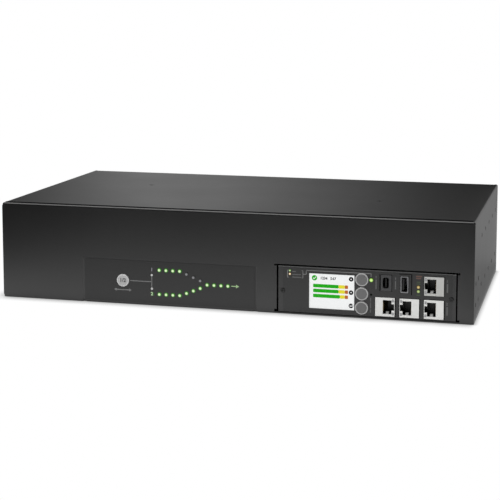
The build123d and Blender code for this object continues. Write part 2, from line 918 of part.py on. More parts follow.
def port_shell(place, size, mouth, corner):
    """A port's shell, closed at the back."""
    x, z = on_plate(place)
    face = front - film - usb_proud
    shell = slab(Pos(x, z) * RectangleRounded(*size, usb_shell_corner), face, module_board_face)
    return shell - slab(Pos(x, z) * RectangleRounded(*mouth, corner), face - 1, face + usb_depth)


def usb_tongues():
    """The contact tongue inside each port."""
    tongues = []
    face = front - film - usb_proud
    ports = ((usb_a_place, usb_a_mouth, usb_a_tongue), (usb_b_place, usb_b_mouth, usb_b_tongue))
    for place, mouth, thick in ports:
        x, z = on_plate(place)
        shift = -mouth[0] / 4 if place is usb_a_place else 0.0
        tongue = Pos(x + shift, z) * Rectangle(thick, mouth[1] - tongue_short)
        tongues.append(slab(tongue, face + tongue_back, face + usb_depth))
    return group(tongues)


def jack_lamp_places(latch):
    """Offsets of a jack's two lamps from its centre, on its latch side."""
    across = latch * (jack_width / 2 - jack_lamp_inset[0] - jack_lamp_size[0] / 2)
    up = jack_tall / 2 - jack_lamp_inset[1] - jack_lamp_size[1] / 2
    return ((across, up), (across, -up))


def network_jack(index):
    """A network jack lying on its side, open at the front."""
    x, z, latch = jack_centres()[index]
    face = front - jack_proud
    body = slab(Pos(x, z) * Rectangle(jack_width, jack_tall), face, module_board_face)
    mouth_x = x + latch * jack_mouth_shift
    mouth = Rectangle(jack_mouth_width, jack_mouth_tall)
    body -= slab(Pos(mouth_x, z) * mouth, face - 1, face + jack_mouth_depth)
    latch_x = mouth_x + latch * (jack_mouth_width + jack_latch_width) / 2
    notch = Rectangle(jack_latch_width + 0.2, jack_latch_tall)
    body -= slab(Pos(latch_x - latch * 0.1, z) * notch, face - 1, face + jack_mouth_depth * 0.7)
    for across, up in jack_lamp_places(latch):
        body -= slab(Pos(x + across, z + up) * Rectangle(*jack_lamp_size), face - 1, face + jack_lamp_depth)
    return body


def jack_contacts():
    """The eight spring contacts of each jack, along the side away from its latch."""
    contacts = []
    for x, z, latch in jack_centres():
        face = front - jack_proud
        wall = x + latch * (jack_mouth_shift - jack_mouth_width / 2)
        root = face + jack_mouth_depth
        profile = make_face(
            Polyline(
                (wall, face + contact_start),
                (wall + latch * contact_size, face + contact_start),
                (wall + latch * contact_rise, root),
                (wall + latch * (contact_rise - contact_size), root),
                (wall, face + contact_start + contact_bend),
                close=True,
            )
        )
        for number in range(contact_count):
            lift = (number - (contact_count - 1) / 2) * contact_pitch - contact_size / 2
            contacts.append(Pos(0, 0, z + lift) * extrude(profile, amount=contact_size, dir=(0, 0, 1)))
    return group(contacts)


def jack_lights():
    """The two lamps in each jack's face."""
    lights = []
    for x, z, latch in jack_centres():
        face = front - jack_proud
        for across, up in jack_lamp_places(latch):
            lamp = Pos(x + across, z + up) * Rectangle(*jack_lamp_size)
            lights.append(slab(lamp, face + jack_lamp_sunk, face + jack_lamp_depth))
    return group(lights)


def bay_connector():
    """The connector at the back of the bay."""
    middle = (bay_left + bay_right) / 2
    end = front + bay_depth - connector_depth - 2
    low = sheet + module_main_lift
    half = connector_width / 2
    return block(middle - half, middle + half, end, end + connector_depth + 4, low, low + connector_height)


# Power section


def main_board_corner():
    """X and Y of the main board's front left corner."""
    return main_board_inset - half_width, front + main_board_front


def main_board():
    """The board that carries the relays and both control supplies."""
    x, y = main_board_corner()
    low = sheet + main_board_lift
    plate = block(x, x + main_board_size[0], y, y + main_board_size[1], low, low + board)
    for post_x, behind in top_screws:
        plate -= round_z(post_radius + post_clear, post_x, front + behind, low - 1, low + board + 1)
    return plate


def standoff_places():
    """X and Y of the main board's standoffs."""
    x, y = main_board_corner()
    depth = main_board_size[1]
    across = (standoff_inset, main_board_size[0] / 2, main_board_size[0] - standoff_inset)
    return [(x + dx, y + dy) for dx in across for dy in (standoff_inset, depth - standoff_inset)]


def board_standoffs():
    """Standoffs under the main board and behind the status board."""
    posts = [round_z(standoff_radius, x, y, sheet, sheet + main_board_lift) for x, y in standoff_places()]
    left = status_left + status_board_margin
    right = status_right - status_board_margin
    z = status_height - standoff_inset - 2
    for x in (left + standoff_inset, right - standoff_inset):
        posts.append(round_y(standoff_radius, x, z, panel_back, status_board_face))
    return group(posts)


def board_screws():
    """A screw on top of each standoff."""
    top = sheet + main_board_lift + board
    screws = []
    for x, y in standoff_places():
        screws.append(round_z(board_screw_radius, x, y, top, top + board_screw_head))
    return group(screws)


def on_main_board(place):
    """X, Y and Z of a place on the main board."""
    x, y = main_board_corner()
    return x + place[0], y + place[1], sheet + main_board_lift + board


def transfer_relays():
    """Relays that connect the load to one input or the other."""
    wide, deep, tall = relay_size
    relays = []
    for column in range(relay_columns):
        for row in range(relay_rows):
            place = (relay_first[0] + relay_pitch[0] * column, relay_first[1] + relay_pitch[1] * row)
            x, y, z = on_main_board(place)
            relay = Box(wide, deep, tall)
            relays.append(Pos(x, y, z + tall / 2) * fillet(relay.edges().filter_by(Axis.Z), 1.0))
    return group(relays)


def bus_capacitors():
    """Reservoir capacitors of the control supplies."""
    cans = []
    for across, from_back in capacitor_places:
        x, y, z = on_main_board((across, main_board_size[1] - from_back))
        can = round_z(capacitor_radius, x, y, z, z + capacitor_height)
        cans.append(fillet(can.edges().sort_by(Axis.Z)[-1], 1.0))
    return group(cans)


def supply_transformers():
    """A wound bobbin between the two halves of a core, for each control supply."""
    wide, deep, tall = transformer_size
    cores = []
    for across, from_back in transformer_places:
        x, y, z = on_main_board((across, main_board_size[1] - from_back))
        core = Pos(x, y, z + tall / 2) * Box(wide, deep * 0.5, tall)
        bobbin = Pos(x, y, z + tall / 2) * Cylinder(deep / 2, transformer_bobbin)
        cores.append(core + bobbin)
    return group(cores)


def current_sensors():
    """Ring sensors on the two load lines."""
    rings = []
    for place in sensor_places:
        x, y, z = on_main_board(place)
        ring = Cylinder(sensor_outer, sensor_height) - Cylinder(sensor_inner, sensor_height + 1)
        rings.append(Pos(x, y, z + sensor_height / 2) * ring)
    return group(rings)


def input_terminals():
    """A three-pole terminal block for each input cord."""
    wide, deep, tall = terminal_size
    blocks = []
    y = panel_inner - terminal_gap
    for gland_x in gland_places:
        body = block(
            gland_x - wide * terminal_poles / 2,
            gland_x + wide * terminal_poles / 2,
            y - deep / 2,
            y + deep / 2,
            sheet,
            sheet + tall,
        )
        for pole in range(terminal_poles):
            x = gland_x + (pole - (terminal_poles - 1) / 2) * wide
            body -= round_z(terminal_screw, x, y, sheet + tall / 2, sheet + tall + 1)
            body -= round_y(terminal_screw, x, sheet + tall / 3, y, y + deep)
        blocks.append(body)
    return group(blocks)


# Rear


def strip_body_size():
    """Width and height of an outlet strip's body, which is also its cut-out."""
    return outlets_per_strip * outlet_pitch - 2 * strip_wall, strip_height - 2 * strip_wall


def large_body_size():
    """Width and height of a large outlet's body, which is also its cut-out."""
    return large_size[0] - 2 * strip_wall, large_size[1] - 2 * strip_wall


def clipped(size, corner):
    """A rectangle with its two upper corners cut off."""
    wide, tall = size[0] / 2, size[1] / 2
    points = [(-wide, -tall), (wide, -tall), (wide, tall - corner), (wide - corner, tall)]
    points += [(corner - wide, tall), (-wide, tall - corner)]
    return make_face(Polyline(*points, close=True))


def outlet_cutter(x, z, hole, island, corner, slot, face):
    """What one outlet's mouth takes out of its body: a well round an island with three slots."""
    well = slab(Pos(x, z) * clipped(hole, corner), face - outlet_depth, face + 1)
    top = clipped(island, corner * island_corner_share)
    core = slab(Pos(x, z) * top, face - outlet_depth - 1, face - island_back)
    cutter = well - core
    for across, up in ((-pin_spread, -pin_offset), (0.0, pin_offset), (pin_spread, -pin_offset)):
        cutter += slab(Pos(x + across, z + up) * Rectangle(*slot), face - outlet_depth, face)
    return cutter


def outlet_strip(column, row):
    """Outlets moulded in one strip."""
    middle, z = strip_columns[column], strip_rows[row]
    face = panel_outer + strip_flange
    wide = outlets_per_strip * outlet_pitch
    flange = slab(Pos(middle, z) * RectangleRounded(wide, strip_height, flange_corner), panel_outer, face)
    flange = chamfer(flange.faces().sort_by(Axis.Y)[-1].edges(), flange_chamfer)
    strip = flange + slab(Pos(middle, z) * Rectangle(*strip_body_size()), outlet_board_face, panel_outer)
    cutters = [
        outlet_cutter(x, z, outlet_hole, outlet_island, outlet_corner, pin_slot, face)
        for x in outlet_columns(middle)
    ]
    return cut_all(strip, cutters)


def large_outlet(row):
    """One large outlet."""
    z = strip_rows[row]
    face = panel_outer + strip_flange
    flange = slab(Pos(large_across, z) * RectangleRounded(*large_size, flange_corner), panel_outer, face)
    flange = chamfer(flange.faces().sort_by(Axis.Y)[-1].edges(), flange_chamfer)
    body = flange + slab(Pos(large_across, z) * Rectangle(*large_body_size()), outlet_board_face, panel_outer)
    return body - outlet_cutter(large_across, z, large_hole, large_island, large_corner, large_slot, face)


def outlet_board():
    """The board that joins the backs of all outlets."""
    left = -inner_half + outlet_board_margin
    right = large_across + large_size[0] / 2
    low = strip_rows[0] - strip_height / 2
    high = strip_rows[-1] + strip_height / 2
    return block(left, right, outlet_board_face - board, outlet_board_face, low, high)


def breaker_bodies():
    """The two bank breakers, each with an open well for its rocker."""
    wide, tall = breaker_size
    face = panel_outer + breaker_bezel
    bodies = []
    edge_x, edge_z = breaker_bezel_edge
    reach = rocker_radius + rocker_clear
    well_wide = rocker_width + 2 * rocker_clear
    for x in breaker_places:
        place = Pos(x, breaker_mid)
        bezel = slab(place * RectangleRounded(wide + edge_x, tall + edge_z, flange_corner), panel_outer, face)
        bezel = chamfer(bezel.faces().sort_by(Axis.Y)[-1].edges(), breaker_chamfer)
        body = bezel + slab(place * Rectangle(wide, tall), panel_outer - breaker_depth, panel_outer)
        well = Pos(x, rocker_axis_y(), breaker_mid) * Rot(0, 90, 0) * Cylinder(reach, well_wide)
        mouth = slab(place * Rectangle(well_wide, 2 * reach), rocker_axis_y(), face + 1)
        bodies.append(body - well - mouth)
    return group(bodies)


def rocker_axis_y():
    """Y of the rockers' axis, a little inside the bezel's face."""
    return panel_outer + breaker_bezel - rocker_radius * 0.55


def breaker_rocker(index):
    """One breaker's rocker, at its on position."""
    x = breaker_places[index]
    centre = rocker_axis_y()
    hub = Cylinder(rocker_radius, rocker_width)
    lift = rocker_radius * sin(radians(rocker_tilt * 2))
    face = make_face(
        Polyline(
            (rocker_radius + 1, rocker_radius + 1),
            (rocker_radius + 1, -rocker_radius - 1),
            (rocker_radius * 0.95, -rocker_radius - 1),
            (rocker_radius * 0.95 - lift, 0),
            (rocker_radius * 0.95, rocker_radius + 1),
            close=True,
        )
    )
    rocker = hub - Pos(0, 0, -rocker_width) * extrude(face, amount=2 * rocker_width)
    rocker = Rot(0, 0, rocker_tilt) * rocker
    return Pos(x, centre, breaker_mid) * Rot(0, 90, 0) * Rot(0, 0, 90) * rocker


def cord_glands():
    """The glands that the two input cords come in through."""
    glands = []
    inner_end = panel_inner - gland_thread_length
    dome_start = panel_outer + gland_flange
    dome_end = dome_start + gland_dome_length
    for x in gland_places:
        gland = slab(Pos(x, gland_height) * RegularPolygon(gland_hex, 6), panel_outer, dome_start)
        dome = round_y(gland_dome_radius, x, gland_height, dome_start, dome_end)
        gland += fillet(dome.edges().sort_by(Axis.Y)[-1], gland_dome_edge)
        gland += round_y(gland_thread, x, gland_height, inner_end, panel_outer)
        gland -= round_y(gland_bore, x, gland_height, inner_end - 1, dome_end + 1)
        glands.append(gland)
    return group(glands)


def gland_nuts():
    """The lock nut behind each gland."""
    nuts = []
    start = panel_inner - gland_nut_height
    for x in gland_places:
        nut = slab(Pos(x, gland_height) * RegularPolygon(gland_nut, 6), start, panel_inner)
        nuts.append(nut - round_y(gland_thread, x, gland_height, start - 1, panel_inner + 1))
    return group(nuts)


def ground_stud():
    """The ground stud with its nut."""
    x, z = stud_place
    start = panel_inner - stud_head
    stud = round_y(stud_radius, x, z, start, panel_outer + stud_length)
    head = round_y(stud_radius * stud_head_share, x, z, start, panel_inner)
    nut = slab(Pos(x, z) * RegularPolygon(stud_nut, 6), panel_outer, panel_outer + stud_nut_height)
    return stud + head + nut


def build():
    """Every node's shape by name."""
    nodes = {
        "base_tray": base_tray(),
        "top_cover": top_cover(),
        "rear_panel": rear_panel(),
        "side_nuts": side_nuts(),
        "cover_posts": cover_posts(),
        "case_screws": case_screws(),
        "status_label": status_label(),
        "status_light_pipes": status_light_pipes(),
        "status_board": status_board(),
        "preference_button": preference_button(),
        "preference_switch": preference_switch(),
        "module_bay": module_bay(),
        "module_faceplate": module_faceplate(),
        "module_label": module_label(),
        "module_tray": module_tray(),
        "module_front_board": module_front_board(),
        "module_main_board": module_main_board(),
        "module_screws": module_screws(),
        "display_window": display_window(),
        "display_panel": display_panel(),
        "display_frame": display_frame(),
        "key_switches": key_switches(),
        "module_light_pipes": module_light_pipes(),
        "indicator_leds": indicator_leds(),
        "reset_switch": reset_switch(),
        "usb_a_shell": port_shell(usb_a_place, usb_a_size, usb_a_mouth, usb_a_mouth_corner),
        "usb_b_shell": port_shell(usb_b_place, usb_b_size, usb_b_mouth, usb_b_mouth_corner),
        "usb_tongues": usb_tongues(),
        "jack_contacts": jack_contacts(),
        "jack_lights": jack_lights(),
        "bay_connector": bay_connector(),
        "main_board": main_board(),
        "board_standoffs": board_standoffs(),
        "board_screws": board_screws(),
        "transfer_relays": transfer_relays(),
        "bus_capacitors": bus_capacitors(),
        "supply_transformers": supply_transformers(),
        "current_sensors": current_sensors(),
        "input_terminals": input_terminals(),
        "outlet_board": outlet_board(),
        "breaker_bodies": breaker_bodies(),
        "cord_glands": cord_glands(),
        "gland_nuts": gland_nuts(),
        "ground_stud": ground_stud(),
    }
    for index, name in enumerate(("up_key", "down_key", "enter_key")):
        nodes[name] = menu_key(index)
    for index in range(len(jacks)):
        nodes[f"network_jack_{index + 1}"] = network_jack(index)
    for column in range(len(strip_columns)):
        for row in range(len(strip_rows)):
            nodes[f"outlet_strip_{column * len(strip_rows) + row + 1}"] = outlet_strip(column, row)
    for row in range(len(strip_rows)):
        nodes[f"large_outlet_{row + 1}"] = large_outlet(row)
    for index in range(len(breaker_places)):
        nodes[f"breaker_rocker_{index + 1}"] = breaker_rocker(index)
    return nodes


os.makedirs("parts", exist_ok=True)
for name, shape in build().items():
    export_step(shape, f"parts/{name}.step")
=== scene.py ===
"""Looks of the rack transfer switch: camera, studio, finishes, lamps, screen picture and print."""

from math import cos, pi, radians, sin

import bpy
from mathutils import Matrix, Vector


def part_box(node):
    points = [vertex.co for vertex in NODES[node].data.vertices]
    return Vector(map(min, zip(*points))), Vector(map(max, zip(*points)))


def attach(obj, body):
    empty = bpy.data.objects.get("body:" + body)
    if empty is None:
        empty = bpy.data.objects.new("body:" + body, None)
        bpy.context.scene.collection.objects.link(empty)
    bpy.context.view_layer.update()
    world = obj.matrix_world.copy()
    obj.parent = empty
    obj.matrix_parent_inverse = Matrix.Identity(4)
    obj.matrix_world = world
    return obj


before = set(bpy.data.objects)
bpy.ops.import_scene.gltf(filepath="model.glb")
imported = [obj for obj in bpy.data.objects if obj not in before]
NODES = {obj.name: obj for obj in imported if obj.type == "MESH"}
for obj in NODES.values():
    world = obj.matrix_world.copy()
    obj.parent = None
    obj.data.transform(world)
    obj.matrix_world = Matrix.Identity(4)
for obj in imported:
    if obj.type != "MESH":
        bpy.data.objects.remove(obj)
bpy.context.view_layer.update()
MM = 0.001

# What the new pieces stand on, all facing the front
CASE_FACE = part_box("base_tray")[0].y
PLATE_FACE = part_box("module_faceplate")[0].y
STATUS_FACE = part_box("status_label")[0].y
MODULE_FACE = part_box("module_label")[0].y
SCREEN_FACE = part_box("display_panel")[0].y
BUTTON_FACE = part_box("preference_button")[0].y
JACK_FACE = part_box("network_jack_1")[0].y
PORT_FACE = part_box("usb_b_shell")[0].y

# Edges that places and finishes are counted from
FRONT_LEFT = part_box("top_cover")[0].x
FRONT_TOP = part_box("top_cover")[1].z
PLATE_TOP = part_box("module_faceplate")[1].z
CASE_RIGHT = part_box("base_tray")[1].x

# Camera, as solved from the outline and the front of the unit in the photograph
PHOTO_SIDE = 500
SENSOR = 36.0
FOCAL_PIXELS = 1360.178
CAMERA_AZIMUTH = radians(14.741)
CAMERA_ELEVATION = radians(6.618)
CAMERA_DISTANCE = 1.185841
CAMERA_TARGET = Vector((0.020003, CASE_FACE, 0.14358))
CAMERA_SHIFT = -0.2

# Print: how far it stands off its film, how much its figures are thickened, of their size, the size of text
# for its height, how round a bar's corners are, of its width, and how many sides a disc or ring has
PRINT = 0.03 * MM
BOLD = 0.035
TEXT_SIZE = 1.37
BAR_CORNER = 0.2
DISC_SIDES = 28

# Painted highlights where the front of the case and the plate of the module bend into their tops, paler
# paint standing in for the light the bends catch: the paint's tone there, how far back they reach, and how
# far down on each
FOLD_HIGHLIGHT_TONE = 0.12
HIGHLIGHT_BACK = 1.6 * MM
CASE_HIGHLIGHT_DROP, PLATE_HIGHLIGHT_DROP = 0.75 * MM, 0.65 * MM

# Network jacks: how thick the plated skin is before the black inside begins, how softly it ends, and its
# share of metal
JACK_SKIN, JACK_SKIN_END, JACK_METAL = 0.35 * MM, 0.1 * MM, 0.15

# Round keys: the axis from the piece's left side and the radius in millimetres, the tones of the face and of
# the rim, and the rim's width in millimetres. The rim's paler tone is a painted highlight where its chamfer
# catches light.
ROUND_KEYS = (
    ("preference_button", 6.9, 5.7, 0.46, 0.62, 1.1),
    ("up_key", 5.7, 5.7, 0.15, 0.45, 1.0),
    ("down_key", 5.7, 5.7, 0.15, 0.45, 1.0),
    ("enter_key", 5.7, 5.7, 0.15, 0.45, 1.0),
)
SCREEN_WHITE = (0.78, 0.79, 0.79)

# Lamps of the status panel, in millimetres across and down the front: two straight rows for the sources,
# which then step towards the row of the output
LAMP_RADIUS, LAMP_RISE = 1.5, 0.5
HALO_WIDTH = 0.55
LAMP_PITCH = 6.4
SOURCE_ROWS = (55.5, 77.6)
OUTPUT_ROW = 66.55
LAMP_FIRST, LAMP_JOIN, LAMP_OUT = 151.7, 177.3, 196.5
DROPS = (2.35, 4.95, 7.6)
RUN = range(4)  # lamps in each straight run
LIT_LAMPS = [(LAMP_FIRST + LAMP_PITCH * step, row) for row in SOURCE_ROWS for step in RUN]
LIT_LAMPS += [(LAMP_JOIN + LAMP_PITCH * step, SOURCE_ROWS[1] - drop) for step, drop in enumerate(DROPS)]
LIT_LAMPS += [(LAMP_OUT + LAMP_PITCH * step, OUTPUT_ROW) for step in RUN]
UNLIT_LAMPS = [(LAMP_JOIN + LAMP_PITCH * step, SOURCE_ROWS[0] + drop) for step, drop in enumerate(DROPS)]

# Lamps of the module: place across and down the front, radius and rise, all in millimetres, and the colours
# of the lens in its middle and at its rim
MODULE_LAMPS = (
    ("link_lamp_green", (272.2, 49.2), 0.95, 0.35, (0.5, 0.66, 0.34), (0.04, 0.13, 0.01)),
    ("link_lamp_amber", (272.2, 52.2), 1.05, 0.35, (1.0, 0.86, 0.6), (0.22, 0.11, 0.015)),
    ("ready_lamp", (344.1, 53.9), 1.65, 0.45, (0.62, 0.82, 0.3), (0.12, 0.3, 0.02)),
    ("port_lamp_yellow", (384.8, 57.9), 1.35, 0.4, (0.5, 0.42, 0.22), (0.2, 0.13, 0.01)),
    ("port_lamp_green", (384.8, 61.6), 1.35, 0.4, (0.42, 0.5, 0.24), (0.1, 0.16, 0.02)),
)

# Middles of the network jacks, in millimetres across and down the front: the lower row from the left, and
# then the upper one
JACK_PLACES = ((356.1, 76.85), (377.1, 76.85), (398.1, 76.85), (398.1, 56.7))

# Print, each row a shape, its place across and down the front, and its sizes in millimetres: a bar's width
# and height, a stroke's with its turn in degrees, an arrow head's radius and the way it points in degrees, a
# disc's radius, a ring's radius and width, and a figure's characters and height
STATUS_LINES = [
    ("bar", 134.2, 66.5, 20.6, 0.7),
    ("bar", 144.5, 66.6, 0.7, 12.6),
    ("bar", 116.8, 75.2, 12.0, 0.8),
    ("head", 110.0, 75.2, 1.6, 180.0),
    ("head", 123.6, 75.2, 1.6, 0.0),
]
STATUS_DOTS = [("disc", 144.5, 60.4, 1.1), ("disc", 144.5, 72.9, 1.1)]
SOURCE_ONE = [("figure", 144.5, 55.5, "1", 3.2)]
SOURCE_TWO = [("figure", 144.5, 77.6, "2", 3.0)]
OUTPUT_ARROW = [("bar", 221.0, 66.5, 4.6, 0.8), ("head", 224.0, 66.5, 1.9, 0.0)]
BUTTON_MARK = [("figure", 117.2, 66.5, "1/2", 3.4)]
MODULE_LINES = [
    ("bar", 270.0, 52.2, 0.55, 6.6),
    ("bar", 270.5, 49.0, 1.2, 0.55),
    ("bar", 270.5, 55.3, 1.2, 0.55),
    ("bar", 283.8, 52.2, 0.55, 6.6),
    ("bar", 283.3, 49.0, 1.2, 0.55),
    ("bar", 283.3, 55.3, 1.2, 0.55),
    ("bar", 285.4, 52.0, 2.8, 0.55),
    ("bar", 286.8, 50.2, 0.55, 3.8),
    ("bar", 315.3, 48.4, 57.4, 0.55),
    ("bar", 343.9, 49.8, 0.55, 2.8),
]
MODULE_LEGENDS = [
    ("bar", 275.9, 50.0, 3.2, 0.8),
    ("bar", 278.1, 52.6, 7.6, 0.8),
    ("bar", 278.3, 55.0, 8.0, 0.8),
    ("bar", 343.6, 71.2, 0.8, 3.4),
    ("bar", 343.6, 76.2, 0.8, 5.2),
    ("bar", 343.6, 81.2, 0.8, 3.0),
    ("bar", 348.2, 51.2, 0.9, 2.2),
    ("bar", 348.2, 57.4, 0.9, 8.4),
    ("bar", 365.0, 51.6, 0.9, 2.0),
    ("bar", 365.0, 57.2, 0.9, 7.2),
    ("figure", 409.2, 51.6, "1", 2.4),
    ("bar", 409.4, 57.6, 1.2, 7.6),
    ("figure", 409.2, 71.4, "2", 2.4),
    ("bar", 409.4, 77.4, 1.2, 7.6),
]
WARM_LEGENDS = [("bar", 385.2, 48.6, 5.0, 1.1), ("bar", 384.8, 50.4, 4.2, 1.0)]
GREEN_LEGENDS = [("bar", 384.8, down, 3.4, 0.7) for down in (53.6, 55.2, 64.9)]

# Painted shadow lines to the right of USB port A and above it, for the shade in the gaps there, and a
# painted shadow on the face of USB port B
PORT_SHADOW_LINES = [("bar", 378.9, 56.2, 0.8, 18.2), ("bar", 373.6, 47.4, 11.2, 0.6)]
PORT_FACE_SHADOW = [("bar", 352.0, 55.8, 0.55, 13.2)]

# Painted shadow lines to the right of every network jack, and above all but the first, for the shade in the
# gaps round them
JACK_SEAM_SHADOWS = [("bar", across + 8.85, down - 0.2, 0.8, 16.9) for across, down in JACK_PLACES]
JACK_SEAM_SHADOWS += [("bar", across, down - 8.55, 17.0, 0.55) for across, down in JACK_PLACES[1:]]

# A dark strip over the seam between the front's return and the cover, a painted shadow of the gap there: how
# far back it reaches, and how deep it is
COVER_SEAM_SHADOW = [("bar", 216.0, -0.25, 428.0, 0.6)]
SEAM_SHADOW_BACK, SEAM_SHADOW_DEPTH = 5.5 * MM, 2.5 * MM

# The screen's picture: three bars, each green, then yellow, then red, with a tick, figures and key symbols
BARS = ((61.75, 315.2), (66.1, 315.2), (70.6, 316.4))  # the row and where its green ends
BAR_START, YELLOW_END, BAR_HEIGHT = 292.6, 320.6, 3.1
FIGURES = ((302.1, "1234"), (308.6, "5"), (311.3, "67"))
SCREEN_GREEN = [("bar", (BAR_START + end) / 2, row, end - BAR_START, BAR_HEIGHT) for row, end in BARS]
SCREEN_GREEN += [("disc", 293.8, 54.9, 2.4)]
SCREEN_YELLOW = [("bar", (end + YELLOW_END) / 2, row, YELLOW_END - end, BAR_HEIGHT) for row, end in BARS]
SCREEN_RED = [("bar", 322.1, row, 2.9, BAR_HEIGHT) for row, _ in BARS]
SCREEN_TICK = [("stroke", 293.1, 55.4, 1.5, 0.6, -45.0), ("stroke", 294.4, 54.8, 2.5, 0.6, 52.0)]
SCREEN_TEXT = [("figure", across, 55.0, words, 2.3) for across, words in FIGURES]
SCREEN_TEXT += [("disc", 326.2, down, 2.05) for down in (54.5, 66.3, 78.0)]
SCREEN_GLYPHS = [
    ("head", 326.2, 54.6, 0.85, 90.0),
    ("head", 326.2, 66.2, 0.85, -90.0),
    ("bar", 326.7, 78.2, 1.8, 0.5),
    ("bar", 327.4, 77.5, 0.5, 1.6),
    ("head", 325.4, 78.2, 0.8, 180.0),
]

# Shield springs of the network jacks, in millimetres: the side of its jack that each mouth is shifted to, in
# the order of the nodes, the mouth's shift and half height, and the springs' sizes. The lower spring rises
# further than the upper one.
MOUTH_SIDES = (-1, 1, -1, -1)
MOUTH_SHIFT, MOUTH_HALF = 2.0, 6.1
SPRING_WIDTH, SPRING_THICKNESS, SPRING_REACH, SPRING_INSET = 2.4, 0.22, 5.2, 0.2
LOWER_RISE, UPPER_RISE = 1.6, 0.3
SPRING_STEPS = 8

# Cards that the glossy surfaces see and the camera does not: place, tilt, turn about the upright, size in
# metres, and how bright each one is at places across it
CARDS = (
    ("front_flag", (0.0, -0.33, 0.55), 90.0, -5.0, (3.0, 1.1), ((-1.5, 0.003), (1.5, 0.003))),
    ("left_flag", (-0.36, -0.19, 0.3), 90.0, -30.0, (0.4, 0.6), ((-1.5, 0.003), (1.5, 0.003))),
    ("side_card", (0.72, 0.15, 0.3), 90.0, 0.0, (1.0, 0.6), ((0.2, 0.6), (1.2, 0.6))),
    ("side_floor_card", (0.468, 0.0, 0.001), 0.0, 0.0, (0.5, 0.8), ((0.2, 0.4), (1.2, 0.4))),
    (
        "rear_card",
        (-0.3, 0.5, 0.8),
        90.0,
        0.0,
        (2.6, 1.6),
        (
            (-1.6, 0.03), (-0.52, 0.06), (-0.42, 0.3), (-0.3, 0.7), (-0.2, 0.62),
            (-0.1, 0.42), (0.0, 0.24), (0.1, 0.08), (0.18, 0.02), (1.0, 0.02),
        ),
    ),
)

# The floor's side and how far it lies below the case, both in metres
FLOOR_SIDE, FLOOR_DROP = 12.0, 0.0002

# The floor's contact shadow: its reach in metres before the case and to the right of it, how far in from the
# case's right side the second one starts to take over, and the width in which it does
SHADOW_REACH = (0.015, 0.0045)
SIDE_START, SIDE_SPAN = 2.0 * MM, 4.0 * MM
WORLD_LIGHT = 0.4  # the strength of the world's light

# Lamps: place, size in metres, power in watts, and what each one points at
LAMPS = (
    ("overhead_lamp", (-0.2, 0.1, 1.5), (1.8, 1.4), 9.0, (0.0, 0.0, 0.0)),
    ("front_lamp", (-0.5, -1.7, 0.7), (1.4, 0.9), 13.0, (0.0, 0.0, 0.04)),
    ("side_lamp", (1.6, 0.2, 0.6), (1.0, 0.9), 6.0, (0.2, 0.0, 0.04)),
)


# Shader nodes


class Wire:
    """A node's output that takes part in arithmetic."""

    def __init__(self, board, socket):
        self.board = board
        self.socket = socket

    def _math(self, operation, first, second, clamp=False):
        return self.board.node("Math", {"operation": operation, "use_clamp": clamp}, {0: first, 1: second})

    def __add__(self, other):
        return self._math("ADD", self, other)

    __radd__ = __add__

    def __sub__(self, other):
        return self._math("SUBTRACT", self, other)

    def __rsub__(self, other):
        return self._math("SUBTRACT", other, self)

    def __mul__(self, other):
        return self._math("MULTIPLY", self, other)

    __rmul__ = __mul__

    def __truediv__(self, other):
        return self._math("DIVIDE", self, other)

    def __gt__(self, other):
        return self._math("GREATER_THAN", self, other)

    def clamped(self):
        return self._math("ADD", self, 0.0, clamp=True)

    def other(self, name):
        """Another output of the same node."""
        return Wire(self.board, self.socket.node.outputs[name])


class Board:
    """A node tree that is being wired."""

    def __init__(self, owner):
        owner.use_nodes = True
        self.owner = owner
        self.tree = owner.node_tree
        self.tree.nodes.clear()

    def node(self, kind, settings=None, values=None, output=0):
        """Adds a node: its settings first, a ramp's stops among them, then its sockets' values or links."""
        made = self.tree.nodes.new("ShaderNode" + kind)
        for key, value in (settings or {}).items():
            if key == "stops":
                while len(made.color_ramp.elements) < len(value):
                    made.color_ramp.elements.new(1.0)
                for element, (place, colour) in zip(made.color_ramp.elements, value):
                    element.position = place
                    element.color = colour
            else:
                setattr(made, key, value)
        for key, value in (values or {}).items():
            if isinstance(value, Wire):
                self.tree.links.new(value.socket, made.inputs[key])
            else:
                made.inputs[key].default_value = value
        return Wire(self, made.outputs[output]) if made.outputs else None

    def place(self, centre=(0.0, 0.0, 0.0), stretch=(1.0, 1.0, 1.0)):
        """Object coordinates in metres, counted from a centre."""
        moved = tuple(-part * factor for part, factor in zip(centre, stretch))
        raw = self.node("TexCoord", output="Object")
        return self.node("Mapping", {}, {"Vector": raw, "Location": moved, "Scale": stretch})

    def axes(self, vector):
        """The three parts of a vector."""
        across = self.node("SeparateXYZ", {}, {0: vector})
        return across, across.other("Y"), across.other("Z")

    def noise(self, scale, detail=2.0, vector=None):
        """Noise from 0 to 1, with so many lumps to the metre."""
        vector = vector or self.place()
        return self.node("TexNoise", {}, {"Vector": vector, "Scale": scale, "Detail": detail})

    def blend(self, first, second, factor):
        """A mix of two colours."""
        return self.node("Mix", {"data_type": "RGBA"}, {0: factor, 6: first, 7: second}, output=2)

    def bump(self, height, strength, distance=0.03 * MM):
        """A normal from a height."""
        return self.node("Bump", {}, {"Height": height, "Strength": strength, "Distance": distance})

    def surface(self, **values):
        """Ends a material in the principled shader, whose sockets are named with underscores."""
        sockets = {key.replace("_", " "): value for key, value in values.items()}
        return self.ended(self.node("BsdfPrincipled", {}, sockets))

    def ended(self, shader, kind="OutputMaterial"):
        """Ends the tree in a shader."""
        self.node(kind, {}, {0: shader})
        return self.owner

    def white_where_seen(self):
        """1 for rays from the camera, off gloss or through glass, and 0 for the rest."""
        camera = self.node("LightPath", output="Is Camera Ray")
        return (camera + camera.other("Is Glossy Ray") + camera.other("Is Transmission Ray")).clamped()


def finish(name):
    """A new material, ready to be wired."""
    return Board(bpy.data.materials.new(name))


def grey(value):
    """A grey as a colour."""
    return (value, value, value, 1.0)


def shade(colour, factor):
    """A colour made darker or lighter."""
    return tuple(min(1.0, part * factor) for part in colour) + (1.0,)


# Finishes


